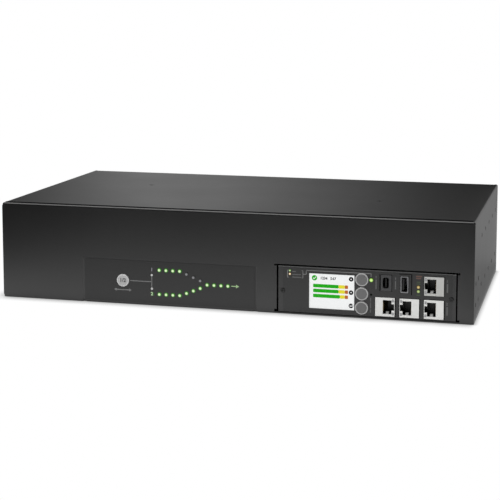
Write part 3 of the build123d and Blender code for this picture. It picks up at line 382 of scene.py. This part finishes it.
def powder_coat(name, tone, roughness, grain, gloss=1.0, bend_highlight=None):
    """Fine black powder coat: a tight grain over a slow orange peel, a little uneven in gloss, and with a
    painted highlight, a paler tone, on the bend that lies before and above a point."""
    board = finish(name)
    fine = board.noise(3200.0)
    peel = board.noise(620.0, 1.0)
    slow = board.noise(14.0, 3.0)
    colour = board.blend(grey(tone * 0.86), grey(tone * 1.14), slow * 0.7 + fine * 0.3)
    # Painted highlight: the paint is made paler on the bend, where it would catch light
    if bend_highlight:
        _, back, up = board.axes(board.place(bend_highlight))
        colour = board.blend(colour, grey(FOLD_HIGHLIGHT_TONE), (up > 0.0) * (1.0 - (back > 0.0)))
    return board.surface(
        Base_Color=colour,
        Roughness=slow * 0.08 + fine * 0.05 + (roughness - 0.065),
        Normal=board.bump(fine * 0.6 + peel * 0.4, grain, 0.05 * MM),
        Specular_IOR_Level=gloss,
    )


def printed_film(name, tone, roughness):
    """Velvet film, printed black on its back."""
    board = finish(name)
    fine = board.noise(5200.0)
    slow = board.noise(22.0)
    return board.surface(
        Base_Color=board.blend(grey(tone * 0.92), grey(tone * 1.08), slow),
        Roughness=slow * 0.06 + (roughness - 0.03),
        Normal=board.bump(fine, 0.12),
        Specular_IOR_Level=0.7,
    )


def moulded(name, colour, roughness=0.45, grain=0.2):
    """Moulded plastic with a light grain."""
    board = finish(name)
    fine = board.noise(2400.0)
    slow = board.noise(30.0)
    return board.surface(
        Base_Color=board.blend(shade(colour, 0.9), shade(colour, 1.1), slow * 0.6 + fine * 0.4),
        Roughness=slow * 0.08 + (roughness - 0.04),
        Normal=board.bump(fine, grain),
    )


def plated(name, colour, roughness=0.32):
    """Plated metal with faint drawing lines."""
    board = finish(name)
    lines = board.noise(240.0, 3.0, board.place(stretch=(1.0, 1.0, 40.0)))
    slow = board.noise(60.0)
    return board.surface(
        Base_Color=board.blend(shade(colour, 0.86), shade(colour, 1.06), slow),
        Metallic=1.0,
        Roughness=lines * 0.14 + (roughness - 0.07),
        Normal=board.bump(lines, 0.08, 0.02 * MM),
    )


def ink(name, colour):
    """Screen-printed ink with a faint mottle."""
    board = finish(name)
    mottle = board.noise(4200.0, 3.0)
    return board.surface(
        Base_Color=board.blend(shade(colour, 0.86), shade(colour, 1.1), mottle),
        Roughness=mottle * 0.1 + 0.45,
        Normal=board.bump(mottle, 0.1),
    )


def lit(name, colour, gloss=0.5):
    """A surface lit from behind, a little uneven."""
    board = finish(name)
    uneven = board.noise(1500.0, 1.0)
    return board.surface(
        Base_Color=shade(colour, 0.3),
        Emission_Color=board.blend(shade(colour, 0.92), shade(colour, 1.0), uneven),
        Emission_Strength=1.0,
        Roughness=uneven * 0.1 + 0.25,
        Specular_IOR_Level=gloss,
    )


def lamp_lens(name, core, rim):
    """A glowing lens, pale in the middle and deeper in colour at its rim, by its own UV map: the light of a
    lit lamp, and a painted highlight on an unlit one.
    """
    board = finish(name)
    across, up, _ = board.axes(board.node("UVMap", {"uv_map": "lens"}))
    radius = board.node("Math", {"operation": "SQRT"}, {0: across * across + up * up})
    colour = board.blend(tuple(core) + (1.0,), tuple(rim) + (1.0,), ((radius - 0.5) / 0.4).clamped())
    return board.surface(
        Base_Color=shade(rim, 0.5),
        Emission_Color=colour,
        Emission_Strength=1.0,
        Roughness=0.25,
    )


def round_key_rim_highlight(name, centre, radius, face, rim, width):
    """A round key with a paler rim, a painted highlight on its chamfer, counted from the key's own axis."""
    board = finish(name)
    across, _, up = board.axes(board.place(centre))
    out = board.node("Math", {"operation": "SQRT"}, {0: across * across + up * up})
    # Painted highlight: the rim is made paler where its chamfer would catch light
    ring = ((out - (radius - width)) / (0.15 * MM)).clamped()
    fine = board.noise(2600.0)
    slow = board.noise(60.0)
    base = board.blend(grey(face * 0.92), grey(face * 1.08), slow * 0.5 + fine * 0.5)
    return board.surface(
        Base_Color=board.blend(base, grey(rim), ring),
        Roughness=fine * 0.08 + 0.4,
        Normal=board.bump(fine, 0.15),
    )


def jack_finish(name, colour):
    """A plated face over a black moulded inside, told apart by depth from the front."""
    board = finish(name)
    _, back, _ = board.axes(board.place((0.0, JACK_FACE, 0.0)))
    inside = ((back - JACK_SKIN) / JACK_SKIN_END).clamped()
    slow = board.noise(120.0)
    fine = board.noise(2600.0)
    skin = board.blend(shade(colour, 0.94), shade(colour, 1.04), slow)
    return board.surface(
        Base_Color=board.blend(skin, grey(0.012), inside),
        Metallic=(1.0 - inside) * JACK_METAL,
        Roughness=fine * 0.1 + 0.36,
        Normal=board.bump(fine, 0.08),
    )


def clear_window(name):
    """A thin clear window with faint smears."""
    board = finish(name)
    smear = board.noise(40.0)
    return board.surface(Base_Color=grey(0.02), Alpha=0.03, Roughness=smear * 0.06 + 0.05)


# Modelling


def deselect():
    """Leaves nothing selected and nothing being edited."""
    if bpy.context.object and bpy.context.object.mode != "OBJECT":
        bpy.ops.object.mode_set(mode="OBJECT")
    bpy.ops.object.select_all(action="DESELECT")


def joined(pieces):
    """One mesh from several, with its place in its mesh."""
    deselect()
    for piece in pieces:
        piece.select_set(True)
    bpy.context.view_layer.objects.active = pieces[0]
    if len(pieces) > 1:
        bpy.ops.object.join()
    piece = bpy.context.object
    bpy.ops.object.transform_apply(location=True, rotation=True, scale=True)
    return piece


def settle(piece, name, material, body="chassis"):
    """Names a finished piece and gives it its finish and its body."""
    piece.name = name
    piece.data.name = name
    piece.data.materials.clear()
    piece.data.materials.append(material)
    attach(piece, body)


def applied():
    """The new object, with its turn and size put into its mesh and open for editing, all selected."""
    piece = bpy.context.object
    bpy.ops.object.transform_apply(location=True, rotation=True, scale=True)
    bpy.ops.object.mode_set(mode="EDIT")
    bpy.ops.mesh.select_all(action="SELECT")
    return piece


def raised(thickness):
    """Gives the flat face that is being edited a thickness towards the front, closed all round."""
    bpy.ops.mesh.select_all(action="SELECT")
    bpy.ops.mesh.extrude_region_move(TRANSFORM_OT_translate={"value": (0.0, -thickness, 0.0)})
    bpy.ops.mesh.select_all(action="SELECT")
    bpy.ops.mesh.normals_make_consistent(inside=False)
    bpy.ops.object.mode_set(mode="OBJECT")


def mark(shape, place, thickness, sizes):
    """One printed mark on a face that looks to the front."""
    deselect()
    if shape == "figure":
        words, height = sizes
        bpy.ops.object.text_add(location=place, rotation=(pi / 2, 0.0, 0.0))
        text = bpy.context.object
        text.data.body = words
        text.data.size = height * MM * TEXT_SIZE
        text.data.align_x = "CENTER"
        text.data.align_y = "CENTER"
        text.data.extrude = thickness
        text.data.offset = BOLD * text.data.size
        text.data.resolution_u = 4
        bpy.ops.object.convert(target="MESH")
        piece = applied()
        bpy.ops.mesh.remove_doubles(threshold=1e-7)
        bpy.ops.object.mode_set(mode="OBJECT")
        return piece
    if shape in ("bar", "stroke"):
        wide, tall = sizes[0] * MM, sizes[1] * MM
        turn = radians(sizes[2]) if shape == "stroke" else 0.0
        bpy.ops.mesh.primitive_plane_add(size=1.0, location=place, rotation=(pi / 2, -turn, 0.0))
        bpy.context.object.scale = (wide, tall, 1.0)
        piece = applied()
        bpy.ops.mesh.bevel(offset=BAR_CORNER * min(wide, tall), segments=2, affect="VERTICES")
    else:
        turn = radians(sizes[1] - 90.0) if shape == "head" else 0.0
        bpy.ops.mesh.primitive_circle_add(
            vertices=3 if shape == "head" else DISC_SIDES,
            radius=sizes[0] * MM,
            fill_type="NGON",
            location=place,
            rotation=(pi / 2, -turn, 0.0),
        )
        piece = applied()
        if shape == "ring":
            bpy.ops.mesh.inset(thickness=sizes[1] * MM)
            bpy.ops.mesh.delete(type="FACE")
    raised(thickness)
    return piece


def print_marks(name, rows, face, material, body="chassis", thickness=PRINT):
    """A table of marks, in one piece on its face."""
    pieces = []
    for shape, across, down, *sizes in rows:
        place = (FRONT_LEFT + across * MM, face, FRONT_TOP - down * MM)
        pieces.append(mark(shape, place, thickness, sizes))
    settle(joined(pieces), name, material, body)


def domes(name, places, radius, rise, face, material):
    """Domed lenses in one piece, each with a UV map that is 1 at its rim."""
    deselect()
    upright = (pi / 2, 0.0, 0.0)
    bpy.ops.mesh.primitive_uv_sphere_add(segments=24, ring_count=12, radius=radius, rotation=upright)
    dome = bpy.context.object
    applied()
    bpy.ops.mesh.bisect(plane_co=(0.0, 0.0, 0.0), plane_no=(0.0, 1.0, 0.0), use_fill=True, clear_outer=True)
    bpy.ops.mesh.select_all(action="SELECT")
    bpy.ops.transform.resize(value=(1.0, rise / radius, 1.0))
    bpy.ops.mesh.normals_make_consistent(inside=False)
    bpy.ops.object.mode_set(mode="OBJECT")
    layer = dome.data.uv_layers[0]
    layer.name = "lens"
    for loop in dome.data.loops:
        point = dome.data.vertices[loop.vertex_index].co
        layer.data[loop.index].uv = (point.x / radius, point.z / radius)
    copies = []
    for across, down in places:
        copy = dome.copy()
        copy.data = dome.data.copy()
        bpy.context.scene.collection.objects.link(copy)
        copy.location = (FRONT_LEFT + across * MM, face, FRONT_TOP - down * MM)
        copies.append(copy)
    bpy.data.objects.remove(dome)
    settle(joined(copies), name, material)
    bpy.ops.object.shade_smooth_by_angle(angle=radians(50.0))


def leaf_spring(place, rise):
    """A thin leaf that runs back from the front and bows by its rise on the way."""
    deselect()
    bpy.ops.mesh.primitive_plane_add(size=1.0, location=place, rotation=(pi / 2, 0.0, 0.0))
    bpy.context.object.scale = (SPRING_WIDTH * MM, SPRING_THICKNESS * MM, 1.0)
    leaf = applied()
    for step in range(SPRING_STEPS):
        climb = sin(pi * (step + 1) / SPRING_STEPS) - sin(pi * step / SPRING_STEPS)
        move = (0.0, SPRING_REACH * MM / SPRING_STEPS, rise * climb)
        bpy.ops.mesh.extrude_region_move(TRANSFORM_OT_translate={"value": move})
    bpy.ops.mesh.select_all(action="SELECT")
    bpy.ops.mesh.normals_make_consistent(inside=False)
    bpy.ops.object.mode_set(mode="OBJECT")
    return leaf


# The stage


def card(name, place, turn, size, material):
    """A flat card in the studio."""
    deselect()
    bpy.ops.mesh.primitive_plane_add(size=1.0, location=place, rotation=turn)
    sheet = bpy.context.object
    sheet.scale = (size[0], size[1], 1.0)
    bpy.ops.object.transform_apply(location=True, rotation=True, scale=True)
    sheet.name = name
    sheet.data.materials.append(material)
    return sheet


def studio():
    """The floor, the world and the lamps."""
    board = finish("paper_floor")
    across, _, _ = board.axes(board.place((CASE_RIGHT, 0.0, 0.0)))
    beside = ((across + SIDE_START) / SIDE_SPAN).clamped()
    settings = {"samples": 16, "only_local": False}
    before, side = [board.node("AmbientOcclusion", settings, {"Distance": reach}) for reach in SHADOW_REACH]
    glow = board.node("Emission", {}, {"Color": board.blend(before, side, beside), "Strength": 1.0})
    paper = board.node("BsdfDiffuse", {}, {"Color": grey(0.8)})
    floor = board.ended(board.node("MixShader", {}, {0: board.white_where_seen(), 1: paper, 2: glow}))
    card("floor", (0.0, 0.0, -FLOOR_DROP), (0.0, 0.0, 0.0), (FLOOR_SIDE, FLOOR_SIDE), floor)

    board = Board(bpy.data.worlds.new("studio"))
    bpy.context.scene.world = board.owner
    white = board.node("Background", {}, {"Color": grey(1.0), "Strength": 1.0})
    fill = board.node("Background", {}, {"Color": grey(1.0), "Strength": WORLD_LIGHT})
    board.ended(board.node("MixShader", {}, {0: board.white_where_seen(), 1: fill, 2: white}), "OutputWorld")

    for name, place, tilt, turn, size, tones in CARDS:
        board = finish(name + "_paper")
        across, _, _ = board.axes(board.place())
        first, last = tones[0][0], tones[-1][0]
        stops = [((at - first) / (last - first), grey(tone)) for at, tone in tones]
        ramp = board.node("ValToRGB", {"stops": stops}, {0: (across - first) / (last - first)})
        paper = board.ended(board.node("Emission", {}, {"Color": ramp, "Strength": 1.0}))
        made = card(name, place, (radians(tilt), 0.0, radians(turn)), size, paper)
        made.visible_camera = False
        made.visible_diffuse = False
        made.visible_shadow = False

    for name, place, size, power, target in LAMPS:
        lamp = bpy.data.lights.new(name, "AREA")
        lamp.shape = "RECTANGLE"
        lamp.size, lamp.size_y = size
        lamp.energy = power
        holder = bpy.data.objects.new(name, lamp)
        bpy.context.scene.collection.objects.link(holder)
        holder.location = place
        holder.rotation_mode = "QUATERNION"
        holder.rotation_quaternion = (Vector(target) - Vector(place)).to_track_quat("-Z", "Y")
        holder.visible_camera = False
        holder.visible_glossy = False


def photo_camera():
    """The camera at the photograph's viewing angle."""
    lens = bpy.data.cameras.new("photo_camera")
    camera = bpy.data.objects.new("photo_camera", lens)
    bpy.context.scene.collection.objects.link(camera)
    level = cos(CAMERA_ELEVATION)
    back = Vector((sin(CAMERA_AZIMUTH) * level, -cos(CAMERA_AZIMUTH) * level, sin(CAMERA_ELEVATION)))
    camera.location = CAMERA_TARGET + back * CAMERA_DISTANCE
    camera.rotation_mode = "QUATERNION"
    camera.rotation_quaternion = (-back).to_track_quat("-Z", "Y")
    lens.sensor_width = SENSOR
    lens.lens = FOCAL_PIXELS / PHOTO_SIDE * SENSOR
    lens.shift_y = CAMERA_SHIFT
    bpy.context.scene.camera = camera
    bpy.context.scene.view_settings.view_transform = "Standard"


# Dressing the nodes


def key_finish(node, from_side, radius, face, rim, width):
    """The finish of one round key, with its rim's painted highlight, centred on its axis, which lies so far
    in from the piece's left side.
    """
    low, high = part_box(node)
    centre = (low.x + from_side * MM, 0.0, (low.z + high.z) / 2)
    return round_key_rim_highlight(node + "_finish", centre, radius * MM, face, rim, width * MM)


def dress():
    """Gives every node its finish."""
    # Where the painted highlights on the bends of the case's front and the module's plate begin
    case_highlight = (0.0, CASE_FACE + HIGHLIGHT_BACK, FRONT_TOP - CASE_HIGHLIGHT_DROP)
    plate_highlight = (0.0, PLATE_FACE + HIGHLIGHT_BACK, PLATE_TOP - PLATE_HIGHLIGHT_DROP)
    paint = powder_coat("case_paint", 0.007, 0.42, 0.25, bend_highlight=case_highlight)
    plate = powder_coat("module_paint", 0.018, 0.4, 0.15, 0.8, plate_highlight)
    # Near-black matte paint on the module's bay, a painted shade that makes the gap round the module read
    # dark
    inside = powder_coat("bay_painted_shade", 0.003, 0.85, 0.1, 0.1)
    usb_b = moulded("usb_b_plastic", (0.05, 0.05, 0.052), 0.4)
    zinc = plated("zinc_steel", (0.6, 0.61, 0.62))
    black = moulded("black_plastic", (0.012, 0.012, 0.012))
    circuit = moulded("circuit_board", (0.02, 0.11, 0.045), 0.4)
    port = plated("port_steel", (0.32, 0.32, 0.33), 0.35)
    outlet = moulded("outlet_plastic", (0.014, 0.014, 0.014), 0.4)
    gland = moulded("gland_plastic", (0.016, 0.016, 0.016), 0.5)
    rocker = moulded("rocker_plastic", (0.02, 0.02, 0.02), 0.25, 0.05)
    jack = jack_finish("jack_silver", (0.86, 0.86, 0.84))
    # The upper jack has the same silver made darker, a painted shade
    shaded_upper_jack = jack_finish("jack_silver_upper_painted_shade", (0.56, 0.56, 0.54))
    groups = [
        (paint, ("base_tray", "top_cover", "rear_panel")),
        (inside, ("module_bay",)),
        (plate, ("module_faceplate",)),
        (printed_film("status_film", 0.014, 0.45), ("status_label",)),
        (printed_film("module_film", 0.018, 0.45), ("module_label",)),
        (zinc, ("module_tray", "side_nuts", "cover_posts", "board_standoffs", "board_screws")),
        (moulded("black_screw", (0.016, 0.016, 0.016), 0.4, 0.1), ("case_screws", "module_screws")),
        (circuit, ("status_board", "module_front_board", "module_main_board", "main_board", "outlet_board")),
        (black, ("preference_switch", "key_switches", "reset_switch", "display_frame", "usb_tongues")),
        (black, ("bay_connector", "current_sensors", "breaker_bodies")),
        (rocker, ("breaker_rocker_1", "breaker_rocker_2")),
        (gland, ("cord_glands", "gland_nuts")),
        (port, ("usb_a_shell",)),
        (usb_b, ("usb_b_shell",)),
        (plated("gold_contact", (0.5, 0.36, 0.15), 0.25), ("jack_contacts",)),
        (moulded("jack_lamp", (0.34, 0.34, 0.35), 0.25, 0.05), ("jack_lights",)),
        (clear_window("window_clear"), ("display_window",)),
        (lit("display_screen", SCREEN_WHITE, 0.1), ("display_panel",)),
        (moulded("lamp_body", (0.7, 0.7, 0.66), 0.3), ("indicator_leds",)),
        (moulded("lamp_green", (0.02, 0.09, 0.01), 0.3, 0.05), ("status_light_pipes", "module_light_pipes")),
        (moulded("relay_plastic", (0.015, 0.02, 0.06), 0.4), ("transfer_relays",)),
        (moulded("capacitor_sleeve", (0.015, 0.015, 0.03), 0.3), ("bus_capacitors",)),
        (moulded("transformer_core", (0.3, 0.2, 0.05), 0.4), ("supply_transformers",)),
        (moulded("terminal_grey", (0.25, 0.25, 0.25)), ("input_terminals",)),
        (plated("brass_stud", (0.75, 0.58, 0.28), 0.3), ("ground_stud",)),
        (outlet, [f"outlet_strip_{index}" for index in range(1, 5)]),
        (outlet, ("large_outlet_1", "large_outlet_2")),
        (shaded_upper_jack, ("network_jack_1",)),
        (jack, [f"network_jack_{index}" for index in range(2, 5)]),
    ]
    groups += [(key_finish(*row), (row[0],)) for row in ROUND_KEYS]
    for material, nodes in groups:
        for node in nodes:
            NODES[node].data.materials.clear()
            NODES[node].data.materials.append(material)


def status_panel():
    """Lamps, halos and print on the status film, and the painted shadow strip over the cover's seam."""
    lit_lens = lamp_lens("lamp_lit", (0.72, 0.8, 0.55), (0.07, 0.27, 0.025))
    # The unlit lenses glow grey, pale in the middle: a painted highlight for the light they catch
    unlit_painted_glow = lamp_lens("lamp_unlit_painted_glow", (0.2, 0.2, 0.21), (0.03, 0.03, 0.03))
    radius, rise = LAMP_RADIUS * MM, LAMP_RISE * MM
    domes("status_lamps_lit", LIT_LAMPS, radius, rise, STATUS_FACE, lit_lens)
    domes("status_lamps_unlit", UNLIT_LAMPS, radius, rise, STATUS_FACE, unlit_painted_glow)
    halos = [("ring", across, down, LAMP_RADIUS + HALO_WIDTH, HALO_WIDTH) for across, down in LIT_LAMPS]
    print_marks("lamp_halos", halos, STATUS_FACE, lit("lamp_halo", (0.012, 0.085, 0.008)))
    # Near-black painted shadow standing in the seam between the front's return and the cover
    seam_shadow_black = powder_coat("seam_shadow_black", 0.002, 0.6, 0.1, 0.1)
    seam_shadow_place = CASE_FACE + SEAM_SHADOW_BACK
    print_marks("cover_seam_shadow", COVER_SEAM_SHADOW, seam_shadow_place, seam_shadow_black, thickness=SEAM_SHADOW_DEPTH)
    print_marks("status_lines", STATUS_LINES, STATUS_FACE, ink("ink_grey", (0.2, 0.2, 0.2)))
    white = ink("ink_white", (0.55, 0.55, 0.55))
    print_marks("status_dots", STATUS_DOTS, STATUS_FACE, white, thickness=2 * PRINT)
    print_marks("source_one", SOURCE_ONE, STATUS_FACE, ink("ink_violet", (0.27, 0.26, 0.3)))
    print_marks("source_two", SOURCE_TWO, STATUS_FACE, lit("numeral_lit", (0.36, 0.5, 0.3)))
    print_marks("output_arrow", OUTPUT_ARROW, STATUS_FACE, lit("arrow_lit", (0.24, 0.36, 0.18)))
    mark_black = ink("ink_button", (0.06, 0.06, 0.06))
    print_marks("button_mark", BUTTON_MARK, BUTTON_FACE, mark_black, "preference")


def module_front():
    """Lamps and print on the module."""
    for name, place, radius, rise, core, rim in MODULE_LAMPS:
        lens = lamp_lens(name + "_lens", core, rim)
        domes(name, [place], radius * MM, rise * MM, MODULE_FACE, lens)
    for name, rows, material in (
        ("module_lines", MODULE_LINES, ink("ink_module", (0.22, 0.22, 0.22))),
        ("module_legends", MODULE_LEGENDS, ink("ink_faint", (0.12, 0.12, 0.12))),
        ("green_legends", GREEN_LEGENDS, ink("ink_green", (0.06, 0.09, 0.045))),
        ("warm_legends", WARM_LEGENDS, ink("ink_warm", (0.13, 0.07, 0.055))),
        # Painted shadows of the gaps round the USB ports and the jacks
        ("port_frame", PORT_SHADOW_LINES + JACK_SEAM_SHADOWS, powder_coat("painted_shadow_black", 0.002, 0.6, 0.1, 0.1)),
    ):
        print_marks(name, rows, MODULE_FACE, material)
    # A painted shadow on the face of USB port B
    port_shadow_black = powder_coat("port_shadow_black", 0.001, 0.7, 0.1, 0.05)
    print_marks("port_face_shadow", PORT_FACE_SHADOW, PORT_FACE, port_shadow_black)


def jack_springs():
    """The shield springs under the mouth of each network jack, and the flatter ones above it."""
    leaves = []
    for index, side in enumerate(MOUTH_SIDES):
        low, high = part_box(f"network_jack_{index + 1}")
        middle = (low + high) / 2
        for way, rise in ((-1, LOWER_RISE), (1, UPPER_RISE)):
            place = (
                middle.x + side * MOUTH_SHIFT * MM,
                low.y + SPRING_INSET * MM,
                middle.z + way * (MOUTH_HALF - SPRING_THICKNESS) * MM,
            )
            leaves.append(leaf_spring(place, -way * rise * MM))
    steel = moulded("jack_spring", (0.4, 0.4, 0.39), 0.3, 0.05)
    settle(joined(leaves), "jack_springs", steel)


def screen_picture():
    """The picture on the screen, behind its window."""
    for name, rows, tint, colour, thickness in (
        ("screen_green", SCREEN_GREEN, "screen_green", (0.012, 0.33, 0.006), PRINT),
        ("screen_yellow", SCREEN_YELLOW, "screen_yellow", (0.66, 0.6, 0.03), PRINT),
        ("screen_red", SCREEN_RED, "screen_red", (0.42, 0.12, 0.02), PRINT),
        ("screen_text", SCREEN_TEXT, "screen_black", (0.004, 0.004, 0.005), PRINT),
        ("screen_tick", SCREEN_TICK + SCREEN_GLYPHS, "screen_white", SCREEN_WHITE, 2 * PRINT),
    ):
        print_marks(name, rows, SCREEN_FACE, lit(tint, colour, 0.1), thickness=thickness)


photo_camera()
studio()
dress()
status_panel()
module_front()
jack_springs()
screen_picture()
